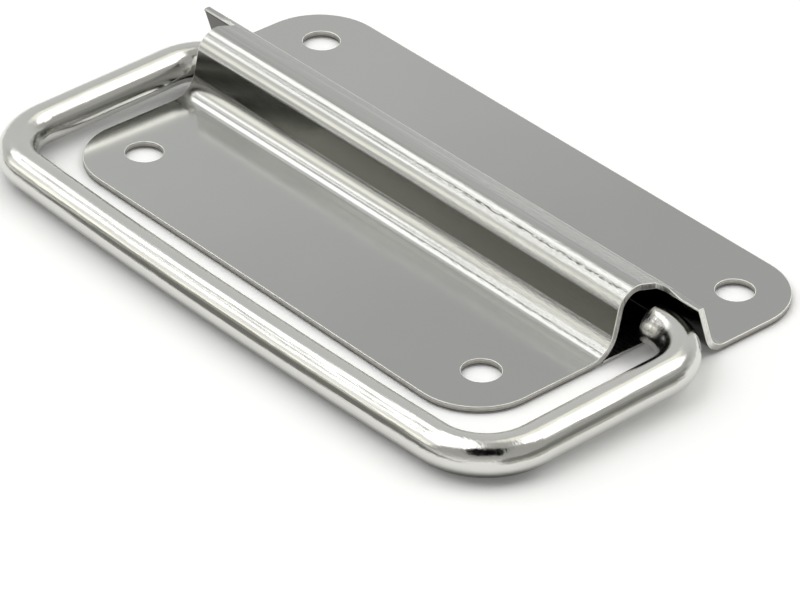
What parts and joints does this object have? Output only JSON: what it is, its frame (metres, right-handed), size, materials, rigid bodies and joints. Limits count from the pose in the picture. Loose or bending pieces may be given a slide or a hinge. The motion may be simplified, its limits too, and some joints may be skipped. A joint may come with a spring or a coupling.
{
  "type": "chest handle",
  "caption": "Surface-mounted chest handle: a folded sheet plate whose channel holds the turned-in ends of a swinging rod handle.",
  "frame": {"origin": "on the mounting face, midway between the four screw holes", "axes": "+X along the channel, +Y from the handle's bar towards the rear flange, +Z away from the chest"},
  "size_m": [0.1136, 0.0718, 0.0106],
  "materials": {
    "satin_sheet": "satin rolled sheet with bright bend lines and sheared edges",
    "strip_steel": "dull rolled strip",
    "polished_rod": "mirror polished rod with fine drawing lines"
  },
  "bodies": {
    "plate": {"mounting_plate": "satin_sheet", "retaining_strip": "strip_steel"},
    "handle": {"carry_handle": "polished_rod"}
  },
  "joints": [
    {"name": "swing", "type": "hinge", "parent": "plate", "child": "handle", "pos_m": [0, 0.00183, 0.00468], "axis": [-1, 0, 0], "range_deg": [0, 90]}
  ]
}
